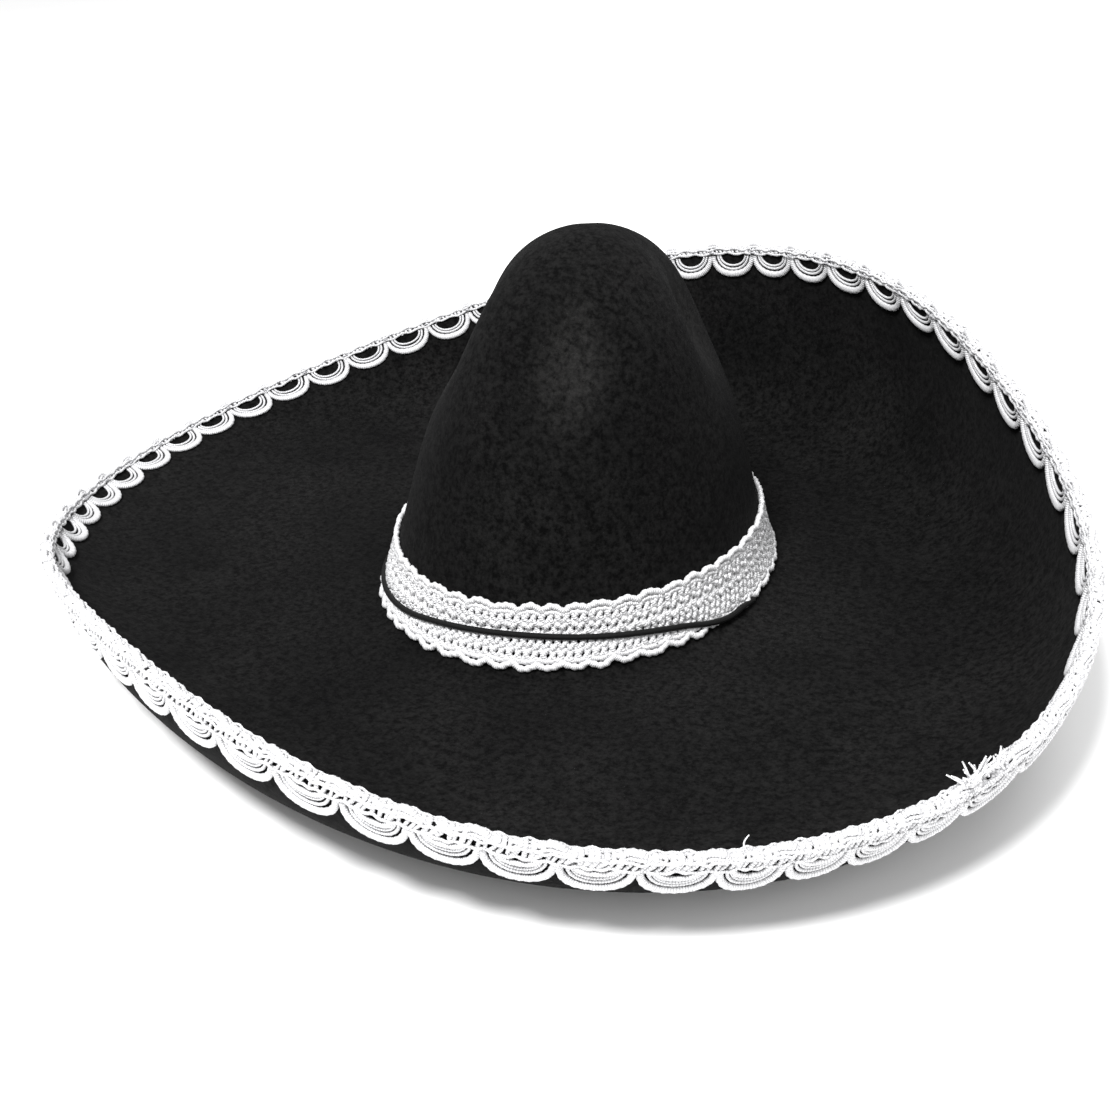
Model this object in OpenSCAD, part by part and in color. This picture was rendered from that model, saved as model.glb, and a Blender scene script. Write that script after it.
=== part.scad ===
// Wide felt sombrero with a curled brim, a scalloped edge braid, a ribbed crown band
// and an elastic chin cord worn up over the band.
// +Z is up, the wearer's face is towards -Y and the wearer's left is +X.
// The origin is on the resting plane, under the middle of the head opening.
// Every angle round the hat is clockwise seen from above, from the back (+Y).

/* [Felt] */
// Thickness of the felt
felt_t = 3; // [2:0.5:4]

/* [Crown] */
// Half the crown's length at its foot, front to back, over the felt
crown_half_length = 106; // [102:1:116]
// Half the crown's width at its foot, side to side, over the felt
crown_half_width = 92; // [88:1:100]
// Height of the crown's top above the resting plane
crown_h = 177; // [150:1:200]
// Distance that the crown's top leans towards the wearer's left
crown_lean = 10; // [0:0.5:15]
// Depth of the four dimples pressed into the crown
dimple_depth = 12; // [0:1:14]

/* [Brim] */
// Mean distance from the crown's axis to the brim's edge
brim_reach = 250.5; // [244:0.5:257]
// Distance that the curl draws the edge in at its highest point
curl_draw = 29.5; // [20:0.5:32]
// Distance that the edge is drawn in at both ends of the curl and let out at both sides
curl_pinch = 30; // [20:0.5:32]
// Mean height of the brim's edge
edge_h = 64; // [62:0.5:68]
// Rise of the edge at its highest point, and its drop at the opposite point
edge_tilt = 32; // [24:0.5:33]
// Rise of the edge at both ends of the curl, and its drop at both sides
edge_saddle = 23.5; // [16:0.5:24.5]
// Turn of the brim's highest point from the back of the crown
curl_turn = 27; // [12:1:42]

/* [Edge braid] */
// Number of scallops round the brim
scallops = 57; // [50:1:64]
// Depth of a scallop, from the fold at the brim's edge
scallop_depth = 18; // [15:1:20]
// Thickness of the braid
braid_t = 1.2; // [0.8:0.1:1.6]

/* [Crown band] */
// Height of the band
band_h = 28.5; // [26:0.5:34]
// Thickness of the band
band_t = 1.6; // [1:0.1:2.4]

/* [Chin cord] */
// Diameter of the elastic cord
cord_d = 2.8; // [2:0.2:3.6]

/* [Sweatband] */
// Height of the sweatband
sweatband_h = 32; // [26:1:38]
// Thickness of the sweatband
sweatband_t = 1; // [0.8:0.1:1.4]

/* [Hidden] */

// Crown profile: how the radius shrinks from the foot to the top
crown_taper = 0.42;
crown_round = -0.42;
crown_flare = 0.018;
flare_reach = 0.08;
top_squareness = 1.88;
crown_rise = crown_h - felt_t;

// Dimples: four of them, a quarter turn apart
dimple_turn = 63;
dimple_half_angle = 20;
dimple_height = 0.74;
dimple_half_height = 0.16;

// Brim profile, outward from the crown's foot
foot_fillet = 6;
fillet_run = foot_fillet + 1;
rest_ring_w = 14;
rest_ring_inner = rest_ring_w - 3;
fillet_t = foot_fillet / crown_rise;
brim_flat_share = 0.6;
brim_flat_rise = 2;

// Slope of the lip at the edge: its mean, and how it changes round the brim
lip_slope = 80;
lip_side_slope = 13;
lip_side_turn = 95;
lip_curl_slope = 16;

// The curl is a little twisted: turns of the tilt and the saddle from its highest point
tilt_turn = 14.5;
saddle_turn = 13;

// Three waves and four smaller ones in the edge, inward and down
wave_r = 9;
wave_r_turn = 8;
wave_h = 5.5;
wave_h_turn = 3;
ripple_r = 2;
ripple_turn = 50;

// Clearance between soft pieces that lie on each other
clear = 0.15;
edge_inset = braid_t + 2 * clear;

// Mesh resolution
felt_segments = 72;
crown_rings = 13;
tip_ring = 0.4;
fillet_rings = 3;
brim_rings = 13;
band_segments = 96;
header_segments = 2 * scallops;
steps_per_scallop = 4;
cord_sides = 8;
length_steps = 240;

// Edge braid
header_depth = 5;
header_bevel = 1.2;
cusp_depth = 7;
first_scallop = 16;
// The braid is stretched unevenly: at each angle, how far the scallops have crept, in scallops
scallop_creep = [
    [0, -0.12], [12, -0.28], [34, -0.25], [61, 0.13], [90, 0.65], [107, 0.4], [122, 0.6], [132, 0.21],
    [140, -0.18], [165, -0.5], [187, -0.29], [225, 0], [236, 0.18], [262, 0.1], [311, -0.04], [360, -0.12]
];
picot_r = 1.6;
stitch_r = 0.4;
stitch_l = 4;

// Splice of the edge braid, where its two cut ends fray
splice_turn = 121;
tail_r = 0.6;
tail_l = 12;
tail_count = 7;
tail_fan = 14;
tail_step = 0.8;

// Band
band_lift = 3;
band_gap = 0.6;
band_edge_r = 1.4;
lap_turn = 8;
lap_l = 22;

// Chin cord: angle round the crown and share of the band's height above its foot
cord_route = [
    [94, 0], [102, 0], [109, 0.08], [116, 0.2], [125, 0.3], [136, 0.38], [149, 0.45], [163, 0.49],
    [177, 0.47], [191, 0.4], [205, 0.28], [217, 0.2], [230, 0.12], [244, 0.05], [256, 0.01], [266, 0]
];
cord_steps = 4;
left_hole_turn = 90;
right_hole_turn = 270;
hole_reach = 2;
knot_r = 3.6;

// Sweatband
sweatband_lift = 1;
sweat_stitches = 48;
stitch_lift = 2;
stitch_half_turn = 1;
slanted_felt_t = 1.12 * felt_t;

// Levels and offsets from the crown's outer face
band_low = felt_t + band_lift;
band_top = band_low + band_h;
band_in = band_gap;
band_out = band_gap + band_t;
cord_r = cord_d / 2;
cord_lift = band_out + band_edge_r + 2 * clear + cord_r;
sweat_out = -slanted_felt_t - 2 * clear;
sweat_in = sweat_out - sweatband_t;
sweat_low = felt_t + sweatband_lift;
hole_h = band_low;
knot_out = sweat_in - clear - knot_r;

// ---------------------------------------------------------------- shape functions

function unit(v) = v / norm(v);

function around(a) = [sin(a), cos(a)];

// Difference between two angles, from -180 to 180
function turn_between(a, b) = let (d = (a - b) % 360) d > 180 ? d - 360 : (d < -180 ? d + 360 : d);

// Depth of the four dimples at angle a and height share t, from 0 to 1
function dent(a, t) =
    let (shares = [
        for (k = [0:3])
            exp(-pow(turn_between(a, dimple_turn + 90 * k) / dimple_half_angle, 2))
    ])
    (shares[0] + shares[1] + shares[2] + shares[3])
    * exp(-pow((t - dimple_height) / dimple_half_height, 2));

// Share of the foot's radius that the crown has at height share t
function crown_scale(t) =
    (1 - crown_taper * t - crown_round * t * t + crown_flare * exp(-t / flare_reach))
    * sqrt(max(0, 1 - pow(t, top_squareness)));

// Point on the crown's outer face, moved outward by out
function crown_point(a, t, out = 0) =
    let (
        flat = crown_scale(t) * [crown_half_width * sin(a), crown_half_length * cos(a)],
        r = norm(flat),
        moved = flat * (r - dimple_depth * dent(a, t) + out) / r
    )
    [moved.x + crown_lean * t, moved.y, felt_t + t * crown_rise];

function crown_at(a, z, out = 0) = crown_point(a, (z - felt_t) / crown_rise, out);

// Foot of the crown in plan
function foot(a) = let (p = crown_point(a, 0)) [p.x, p.y];

// Outermost line of the brim, where the braid folds over it
function fold_h(a) =
    let (b = a - curl_turn)
    edge_h + edge_tilt * cos(b - tilt_turn) + edge_saddle * cos(2 * (b + saddle_turn))
    - wave_h * cos(3 * (b - wave_h_turn));
function fold_r(a) =
    let (b = a - curl_turn)
    brim_reach - curl_draw * cos(b) - curl_pinch * cos(2 * b)
    + wave_r * cos(3 * (b + wave_r_turn)) - ripple_r * cos(4 * (b + ripple_turn));

// Outward direction of the brim in plan, and the brim's width in plan
function outward(a) = unit(fold_r(a) * around(a) - foot(a));
function brim_span(a) = norm(fold_r(a) * around(a) - foot(a));

// Slope of the lip where it ends, steepest where the brim curls highest
function edge_slope(a) =
    lip_slope + lip_side_slope * cos(a - lip_side_turn) + lip_curl_slope * cos(2 * (a - curl_turn));
function edge_dir(a) = [cos(edge_slope(a)), sin(edge_slope(a))];
function left_of(v) = [-v.y, v.x];

// Control points of the brim's upper face, as [distance out, height]
function brim_control(a) =
    let (
        end = [brim_span(a), fold_h(a)] - edge_inset * edge_dir(a) + felt_t / 2 * left_of(edge_dir(a)),
        start = [rest_ring_w, felt_t],
        handle = (end.y - start.y) / sin(edge_slope(a))
    )
    [
        start,
        start + [brim_flat_share * (end.x - rest_ring_w), brim_flat_rise],
        end - handle * edge_dir(a),
        end
    ];
function bezier(c, u) =
    pow(1 - u, 3) * c[0] + 3 * u * pow(1 - u, 2) * c[1] + 3 * u * u * (1 - u) * c[2] + pow(u, 3) * c[3];
function bezier_dir(c, u) =
    unit(pow(1 - u, 2) * (c[1] - c[0]) + 2 * u * (1 - u) * (c[2] - c[1]) + u * u * (c[3] - c[2]));

// Place of a brim section point in space
function placed(a, p) = let (q = foot(a) + p.x * outward(a)) [q.x, q.y, p.y];

function brim_point(a, u) = placed(a, bezier(brim_control(a), u));

// Share along the brim that lies d inward from the felt's edge
function share_inward(c, d, u, n) =
    n == 0 ? u : share_inward(c, d, 1 - (1 - u) * d / norm(bezier(c, u) - c[3]), n - 1);

// Point d inward from the fold, lifted from the felt's upper face by off
function face_point(a, d, off) =
    let (c = brim_control(a), inward = d - edge_inset)
    inward <= 0.01
    ? placed(a, c[3] - inward * edge_dir(a) + off * left_of(edge_dir(a)))
    : let (u = share_inward(c, inward, 1 - inward / (3 * norm(c[3] - c[2])), 4))
      placed(a, bezier(c, u) + off * left_of(bezier_dir(c, u)));

// Lengths along the fold, to space the scallops evenly
function fold_point(a) = let (p = fold_r(a) * around(a)) [p.x, p.y, fold_h(a)];
fold_steps = [
    for (i = [0:length_steps - 1])
        norm(fold_point((i + 1) * 360 / length_steps) - fold_point(i * 360 / length_steps))
];
fold_lengths = [
    for (i = 0, s = 0; i <= length_steps; s = s + (i < length_steps ? fold_steps[i] : 0), i = i + 1) s
];
fold_table = [for (i = [0:length_steps]) [fold_lengths[i], i * 360 / length_steps]];
fold_total = fold_lengths[length_steps];
pitch = fold_total / scallops;
function angle_along(s) = let (m = s % fold_total) lookup(m < 0 ? m + fold_total : m, fold_table);

// Place along the fold of a point at angle a, after the braid's uneven stretch
function crept(s, a) = s + pitch * lookup(a, scallop_creep);

// Angle of the point n scallops from the first one
function scallop_angle(n) =
    let (even = first_scallop + n * pitch, near = crept(even, angle_along(even)))
    angle_along(crept(even, angle_along(near)));

// ---------------------------------------------------------------- meshes

// Triangles of a skin over sections of m points each; an open one has flat ends
function skin_faces(n, m, closed) = concat(
    [
        for (i = [0:n - (closed ? 1 : 2)], j = [0:m - 1])
            let (p = i * m, q = (i + 1) % n * m, k = (j + 1) % m)
            each [[p + j, q + j, q + k], [p + j, q + k, p + k]]
    ],
    closed ? [] : [[for (j = [0:m - 1]) j], [for (j = [m - 1:-1:0]) (n - 1) * m + j]]
);

module skin(sections, closed) {
    polyhedron(
        points = [for (s = sections) for (p = s) p],
        faces = skin_faces(len(sections), len(sections[0]), closed),
        convexity = 8
    );
}

// Places children with X along dir and the origin at point
module along(point, dir) {
    turn = atan2(dir.y, dir.x);
    rise = asin(dir.z / norm(dir));
    translate(point) rotate([0, 0, turn]) rotate([0, -rise, 0]) children();
}

module rod(start, end, r) {
    along(start, end - start)
        rotate([0, 90, 0])
            cylinder(r = r, h = norm(end - start), $fn = 16);
}

// ---------------------------------------------------------------- felt

// Upper face of the felt at angle a, from the crown's top to the brim's edge
function felt_line(a) = concat(
    [
        for (i = [1:crown_rings])
            let (q = (i - 1 + tip_ring) / (crown_rings - 1 + tip_ring))
            crown_point(a, 1 - q * q * (1 - fillet_t))
    ],
    [
        for (i = [1:fillet_rings])
            let (
                s = i / fillet_rings,
                corner = placed(a, [0, felt_t]),
                top = crown_point(a, fillet_t),
                end = placed(a, [fillet_run, felt_t])
            )
            pow(1 - s, 2) * top + 2 * s * (1 - s) * corner + s * s * end
    ],
    [placed(a, [rest_ring_inner, felt_t])],
    [for (i = [0:brim_rings]) brim_point(a, i / brim_rings)]
);
felt_grid = [for (j = [0:felt_segments - 1]) felt_line(j * 360 / felt_segments)];

// Direction out of the felt at point i of line j
function felt_normal(j, i) =
    let (
        n = felt_segments,
        last = len(felt_grid[0]) - 1,
        down = felt_grid[j][min(i + 1, last)] - felt_grid[j][max(i - 1, 0)],
        round = felt_grid[(j + 1) % n][i] - felt_grid[(j + n - 1) % n][i]
    )
    unit(cross(round, down));

module felt_body() {
    rings = len(felt_grid[0]);
    upper = [for (i = [0:rings - 1]) [for (j = [0:felt_segments - 1]) felt_grid[j][i]]];
    lower = [
        for (i = [rings - 1:-1:0])
            [for (j = [0:felt_segments - 1]) felt_grid[j][i] - felt_t * felt_normal(j, i)]
    ];
    color([0.13, 0.13, 0.14])
        difference() {
            skin(concat(upper, lower), false);
            cord_hole(left_hole_turn);
            cord_hole(right_hole_turn);
        }
}

// ---------------------------------------------------------------- edge braid

// Header of the braid: a channel folded over the felt's edge
function header_section(a) =
    let (
        inner = clear,
        outer = clear + braid_t,
        bottom_in = -felt_t - clear,
        bottom_out = -felt_t - clear - braid_t
    )
    [
        face_point(a, header_depth, inner),
        face_point(a, edge_inset - clear, inner),
        face_point(a, edge_inset - clear, bottom_in),
        face_point(a, header_depth, bottom_in),
        face_point(a, header_depth, bottom_out),
        face_point(a, header_bevel, bottom_out),
        face_point(a, 0, bottom_in + header_bevel / 2),
        face_point(a, 0, inner - header_bevel / 2),
        face_point(a, header_bevel, outer),
        face_point(a, header_depth, outer)
    ];

module edge_braid_header() {
    color([0.75, 0.75, 0.76])
        skin([
            for (i = [0:header_segments - 1])
                header_section(angle_along(i * fold_total / header_segments))
        ], true);
}

// How far the scalloped edge reaches in, at share s of one scallop, 0 in its middle
function scallop_reach(s) =
    let (x = 2 * abs(s - round(s)))
    cusp_depth + (scallop_depth - cusp_depth) * sqrt(max(0, 1 - x * x));

// Strip with a scalloped inner edge, lying on the face whose offsets are near and far
module scallop_strip(near, far) {
    start = header_depth + 2 * clear;
    steps = scallops * steps_per_scallop;
    sections = [
        for (i = [0:steps - 1])
            let (
                a = scallop_angle(i / steps_per_scallop),
                reach = scallop_reach(i / steps_per_scallop),
                mid = (start + reach) / 2
            )
            [
                face_point(a, start, near),
                face_point(a, mid, near),
                face_point(a, reach, near),
                face_point(a, reach, far),
                face_point(a, mid, far),
                face_point(a, start, far)
            ]
    ];
    skin(sections, true);
}

module edge_braid_upper_scallops() {
    color([0.8, 0.8, 0.81])
        scallop_strip(clear, clear + braid_t);
}

module edge_braid_lower_scallops() {
    color([0.72, 0.72, 0.73])
        scallop_strip(-felt_t - clear - braid_t, -felt_t - clear);
}

// Small loops that stand off the fold between neighbouring scallops
module edge_braid_picots() {
    color([0.85, 0.85, 0.86])
        for (k = [0:scallops - 1]) {
            a = scallop_angle(k + 0.5);
            translate(face_point(a, -picot_r - clear, -felt_t / 2))
                sphere(r = picot_r, $fn = 24);
        }
}

// Frayed yarn ends where the two ends of the braid meet
module edge_braid_splice_tails() {
    color([0.9, 0.9, 0.9])
        for (k = [0:tail_count - 1]) {
            a = splice_turn + (k - (tail_count - 1) / 2) * tail_step;
            lean = (k - (tail_count - 1) / 2) * tail_fan;
            base = face_point(a, -clear - tail_r, -felt_t / 2);
            rise = face_point(a, -tail_l, -felt_t / 2) - base;
            side = face_point(a + 1, 0, 0) - face_point(a, 0, 0);
            rod(base, base + tail_l * unit(unit(rise) * cos(lean) + unit(side) * sin(lean)), tail_r);
        }
}

// Sewing thread along the header, one stitch at each cusp
module edge_braid_stitches() {
    color([0.6, 0.6, 0.62])
        for (k = [0:scallops - 1]) {
            half = stitch_l / pitch / 2;
            off = braid_t + 2 * clear + stitch_r;
            rod(
                face_point(scallop_angle(k + 0.5 - half), header_depth - 1, off),
                face_point(scallop_angle(k + 0.5 + half), header_depth - 1, off),
                stitch_r
            );
        }
}

// ---------------------------------------------------------------- crown band

module crown_band() {
    color([0.78, 0.78, 0.79])
        skin([
            for (j = [0:band_segments - 1])
                let (a = j * 360 / band_segments)
                [
                    crown_at(a, band_low + 2 * band_edge_r, band_in),
                    crown_at(a, band_top - 2 * band_edge_r, band_in),
                    crown_at(a, band_top - 2 * band_edge_r, band_out),
                    crown_at(a, (band_low + band_top) / 2, band_out),
                    crown_at(a, band_low + 2 * band_edge_r, band_out)
                ]
        ], true);
}

// Round cord along one edge of the band, centred at height z
module band_edge_cord(z) {
    color([0.85, 0.85, 0.86])
        skin([
            for (j = [0:band_segments - 1])
                let (a = j * 360 / band_segments)
                [
                    for (i = [0:5])
                        crown_at(a, z + band_edge_r * sin(60 * i), band_edge_r * (1 - cos(60 * i)) + band_in)
                ]
        ], true);
}

module crown_band_upper_cord() {
    band_edge_cord(band_top - band_edge_r + clear);
}

module crown_band_lower_cord() {
    band_edge_cord(band_low + band_edge_r - clear);
}

// End of the band, lapped over its beginning
module crown_band_lap() {
    half_turn = lap_l / crown_half_length * 180 / PI / 2;
    near = band_out + clear;
    far = band_out + clear + band_t;
    color([0.74, 0.74, 0.75])
        skin([
            for (i = [-2:2])
                let (a = lap_turn + i / 2 * half_turn)
                [
                    crown_at(a, band_low + 3 * band_edge_r, near),
                    crown_at(a, band_top - 3 * band_edge_r, near),
                    crown_at(a, band_top - 3 * band_edge_r, far),
                    crown_at(a, band_low + 3 * band_edge_r, far)
                ]
        ], false);
}

// ---------------------------------------------------------------- chin cord

// Middle of the cord at share s of one stretch of its route
function route_value(k, s) =
    let (
        n = len(cord_route) - 1,
        p0 = cord_route[max(k - 1, 0)],
        p1 = cord_route[k],
        p2 = cord_route[min(k + 1, n)],
        p3 = cord_route[min(k + 2, n)]
    )
    0.5 * (2 * p1 + (p2 - p0) * s + (2 * p0 - 5 * p1 + 4 * p2 - p3) * s * s
        + (3 * p1 - p0 - 3 * p2 + p3) * s * s * s);
function cord_middle(v) = crown_at(v[0], band_low + cord_r + v[1] * band_h, cord_lift);

// The cord comes in through a hole at each side of the crown's foot
function hole_point(turn, out) = crown_at(turn, hole_h, out);
function cord_end(turn) = [
    hole_point(turn, knot_out + knot_r + clear),
    hole_point(turn, cord_lift / 2)
];
over_band = [
    for (k = [0:len(cord_route) - 2], i = [0:cord_steps - 1])
        cord_middle(route_value(k, i / cord_steps))
];
right_end = cord_end(right_hole_turn);
cord_line = concat(
    cord_end(left_hole_turn),
    over_band,
    [cord_middle(cord_route[len(cord_route) - 1]), right_end[1], right_end[0]]
);

// Hole for the cord through the felt and the sweatband
module cord_hole(turn) {
    rod(hole_point(turn, knot_out), hole_point(turn, foot_fillet + hole_reach), cord_r + 2 * clear);
}

module chin_cord() {
    n = len(cord_line);
    color([0.06, 0.06, 0.06])
        skin([
            for (i = [0:n - 1])
                let (
                    dir = unit(cord_line[min(i + 1, n - 1)] - cord_line[max(i - 1, 0)]),
                    side = unit(cross(dir, [0, 0, 1])),
                    up = cross(side, dir)
                )
                [
                    for (j = [0:cord_sides - 1])
                        cord_line[i] + cord_r * (cos(j * 360 / cord_sides) * side + sin(j * 360 / cord_sides) * up)
                ]
        ], false);
}

// Knot that stops one end of the cord inside the crown
module cord_knot(turn) {
    color([0.06, 0.06, 0.06])
        translate(hole_point(turn, knot_out))
            sphere(r = knot_r, $fn = 32);
}

module chin_cord_knot_left() {
    cord_knot(left_hole_turn);
}

module chin_cord_knot_right() {
    cord_knot(right_hole_turn);
}

// ---------------------------------------------------------------- sweatband

module sweatband() {
    color([0.2, 0.17, 0.14])
        difference() {
            skin([
                for (j = [0:felt_segments - 1])
                    let (a = j * 360 / felt_segments)
                    [
                        crown_at(a, sweat_low, sweat_in),
                        crown_at(a, sweat_low + sweatband_h, sweat_in),
                        crown_at(a, sweat_low + sweatband_h, sweat_out),
                        crown_at(a, sweat_low, sweat_out)
                    ]
            ], true);
            cord_hole(left_hole_turn);
            cord_hole(right_hole_turn);
        }
}

// Thread that sews the sweatband's lower edge to the felt
module sweatband_stitches() {
    color([0.12, 0.12, 0.12])
        for (k = [0:sweat_stitches - 1]) {
            a = (k + 0.5) * 360 / sweat_stitches;
            z = sweat_low + stitch_lift;
            off = sweat_in - clear - stitch_r;
            rod(crown_at(a - stitch_half_turn, z, off), crown_at(a + stitch_half_turn, z, off), stitch_r);
        }
}

felt_body();
edge_braid_header();
edge_braid_upper_scallops();
edge_braid_lower_scallops();
edge_braid_picots();
edge_braid_splice_tails();
edge_braid_stitches();
crown_band();
crown_band_upper_cord();
crown_band_lower_cord();
crown_band_lap();
chin_cord();
chin_cord_knot_left();
chin_cord_knot_right();
sweatband();
sweatband_stitches();
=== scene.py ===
import math
import random
from collections import namedtuple

import bpy
import numpy as np
from mathutils import Matrix, Vector


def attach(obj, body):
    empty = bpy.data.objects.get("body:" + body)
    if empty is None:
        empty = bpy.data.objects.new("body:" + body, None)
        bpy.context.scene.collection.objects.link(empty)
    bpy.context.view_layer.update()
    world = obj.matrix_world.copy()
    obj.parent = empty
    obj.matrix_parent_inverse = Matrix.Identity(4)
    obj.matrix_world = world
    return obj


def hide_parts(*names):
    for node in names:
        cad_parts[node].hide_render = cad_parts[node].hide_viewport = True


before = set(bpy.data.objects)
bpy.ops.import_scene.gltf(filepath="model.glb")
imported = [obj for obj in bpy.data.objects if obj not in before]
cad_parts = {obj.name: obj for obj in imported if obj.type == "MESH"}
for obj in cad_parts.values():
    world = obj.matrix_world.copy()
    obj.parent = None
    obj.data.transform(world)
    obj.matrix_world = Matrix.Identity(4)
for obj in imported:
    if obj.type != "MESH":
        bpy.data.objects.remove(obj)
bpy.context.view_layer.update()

MM = 0.001

# ------------------------------------------------------------------ camera

AIM = Vector((-0.012, 0.0, 0.0018))
CAMERA_DISTANCE = 0.782
CAMERA_TURN = 32.3
CAMERA_RISE = 28.1
CAMERA_ROLL = -2.9
LENS = 49.2
SENSOR_WIDTH = 36
NEAREST_SEEN = 0.01


def place_camera():
    """Camera turned from the wearer's face towards the wearer's left, and raised."""
    turn = math.radians(CAMERA_TURN)
    rise = math.radians(CAMERA_RISE)
    back = Vector((math.sin(turn) * math.cos(rise), -math.cos(turn) * math.cos(rise), math.sin(rise)))
    data = bpy.data.cameras.new("camera")
    data.lens = LENS
    data.sensor_width = SENSOR_WIDTH
    data.clip_start = NEAREST_SEEN
    camera = bpy.data.objects.new("camera", data)
    bpy.context.scene.collection.objects.link(camera)
    look = (-back).to_track_quat("-Z", "Y").to_matrix().to_4x4()
    camera.matrix_world = (
        Matrix.Translation(AIM + CAMERA_DISTANCE * back)
        @ look
        @ Matrix.Rotation(math.radians(CAMERA_ROLL), 4, "Z")
    )
    bpy.context.scene.camera = camera


place_camera()

# ------------------------------------------------------------------ shape of the hat, as in part.scad, in mm

FELT_T = 3.0
CROWN_HALF_LENGTH = 106.0
CROWN_HALF_WIDTH = 92.0
CROWN_H = 177.0
CROWN_LEAN = 10.0
DIMPLE_DEPTH = 12.0
BRIM_REACH = 250.5
CURL_DRAW = 29.5
CURL_PINCH = 30.0
EDGE_H = 64.0
EDGE_TILT = 32.0
EDGE_SADDLE = 23.5
CURL_TURN = 27.0
SCALLOPS = 57
SCALLOP_DEPTH = 18.0
BRAID_T = 1.2
BAND_H = 28.5
CORD_D = 2.8
SWEATBAND_H = 32.0
SWEATBAND_T = 1.0
CROWN_TAPER = 0.42
CROWN_ROUND = -0.42
CROWN_FLARE = 0.018
FLARE_REACH = 0.08
TOP_SQUARENESS = 1.88
CROWN_RISE = CROWN_H - FELT_T
DIMPLE_TURN = 63.0
DIMPLE_HALF_ANGLE = 20.0
DIMPLE_HEIGHT = 0.74
DIMPLE_HALF_HEIGHT = 0.16
FOOT_FILLET = 6.0
REST_RING_W = 14.0
BRIM_FLAT_SHARE = 0.6
BRIM_FLAT_RISE = 2.0
LIP_SLOPE = 80.0
LIP_SIDE_SLOPE = 13.0
LIP_SIDE_TURN = 95.0
LIP_CURL_SLOPE = 16.0
TILT_TURN = 14.5
SADDLE_TURN = 13.0
WAVE_R = 9.0
WAVE_R_TURN = 8.0
WAVE_H = 5.5
WAVE_H_TURN = 3.0
RIPPLE_R = 2.0
RIPPLE_TURN = 50.0
CLEAR = 0.15
EDGE_INSET = BRAID_T + 2 * CLEAR
FIRST_SCALLOP = 16.0
# how far the scallops have crept along the fold at each angle, in scallops
SCALLOP_CREEP = (
    (0, -0.12), (12, -0.28), (34, -0.25), (61, 0.13), (90, 0.65), (107, 0.4), (122, 0.6), (132, 0.21),
    (140, -0.18), (165, -0.5), (187, -0.29), (225, 0), (236, 0.18), (262, 0.1), (311, -0.04), (360, -0.12),
)
SPLICE_TURN = 121.0
BAND_LIFT = 3.0
BAND_GAP = 0.6
BAND_LOW = FELT_T + BAND_LIFT
BAND_TOP = BAND_LOW + BAND_H
CORD_R = CORD_D / 2
LEFT_HOLE = 90.0
RIGHT_HOLE = 270.0
KNOT_R = 3.6
SWEAT_OUT = -1.12 * FELT_T - 2 * CLEAR
SWEAT_IN = SWEAT_OUT - SWEATBAND_T
SWEAT_LOW = FELT_T + 1.0
# chin cord over the band: angle round the crown, and share of the band's height above its foot
CORD_ROUTE = (
    (94, 0), (102, 0), (109, 0.08), (116, 0.2), (125, 0.3), (136, 0.38), (149, 0.45), (163, 0.49),
    (177, 0.47), (191, 0.4), (205, 0.28), (217, 0.2), (230, 0.12), (244, 0.05), (256, 0.01), (266, 0),
)


def sind(a):
    """Sine of an angle in degrees."""
    return np.sin(np.radians(a))


def cosd(a):
    """Cosine of an angle in degrees."""
    return np.cos(np.radians(a))


def unit(v):
    """Directions of length one, from vectors along the last axis."""
    return v / (np.linalg.norm(v, axis=-1, keepdims=True) + 1e-12)


def dent(a, t):
    """Depth of the four dimples, from 0 to 1."""
    total = 0.0
    for k in range(4):
        away = (a - DIMPLE_TURN - 90 * k + 180) % 360 - 180
        total = total + np.exp(-((away / DIMPLE_HALF_ANGLE) ** 2))
    return total * np.exp(-(((t - DIMPLE_HEIGHT) / DIMPLE_HALF_HEIGHT) ** 2))


def crown_scale(t):
    """Share of the crown's foot radius at height share t."""
    body = 1 - CROWN_TAPER * t - CROWN_ROUND * t * t + CROWN_FLARE * np.exp(-t / FLARE_REACH)
    return body * np.sqrt(np.maximum(0, 1 - np.power(np.clip(t, 0, 1), TOP_SQUARENESS)))


def crown_point(a, t, out=0.0):
    """Point on the crown's outer face at angle a and height share t, moved outward by out."""
    a, t, out = np.broadcast_arrays(np.asarray(a, float), np.asarray(t, float), np.asarray(out, float))
    x = crown_scale(t) * CROWN_HALF_WIDTH * sind(a)
    y = crown_scale(t) * CROWN_HALF_LENGTH * cosd(a)
    r = np.hypot(x, y) + 1e-9
    grow = (r - DIMPLE_DEPTH * dent(a, t) + out) / r
    return np.stack([x * grow + CROWN_LEAN * t, y * grow, FELT_T + t * CROWN_RISE], -1)


def crown_at(a, z, out=0.0):
    """Point on the crown's outer face at angle a and height z."""
    return crown_point(a, (np.asarray(z, float) - FELT_T) / CROWN_RISE, out)


def foot(a):
    """Foot of the crown, seen from above."""
    return crown_point(a, 0.0)[..., :2]


def fold_h(a):
    """Height of the braid's fold round the brim."""
    b = a - CURL_TURN
    return (
        EDGE_H
        + EDGE_TILT * cosd(b - TILT_TURN)
        + EDGE_SADDLE * cosd(2 * (b + SADDLE_TURN))
        - WAVE_H * cosd(3 * (b - WAVE_H_TURN))
    )


def fold_r(a):
    """Distance of the braid's fold from the hat's middle."""
    b = a - CURL_TURN
    return (
        BRIM_REACH
        - CURL_DRAW * cosd(b)
        - CURL_PINCH * cosd(2 * b)
        + WAVE_R * cosd(3 * (b + WAVE_R_TURN))
        - RIPPLE_R * cosd(4 * (b + RIPPLE_TURN))
    )


def fold_point(a):
    """Point on the braid's fold."""
    return np.stack([fold_r(a) * sind(a), fold_r(a) * cosd(a), fold_h(a)], -1)


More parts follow.
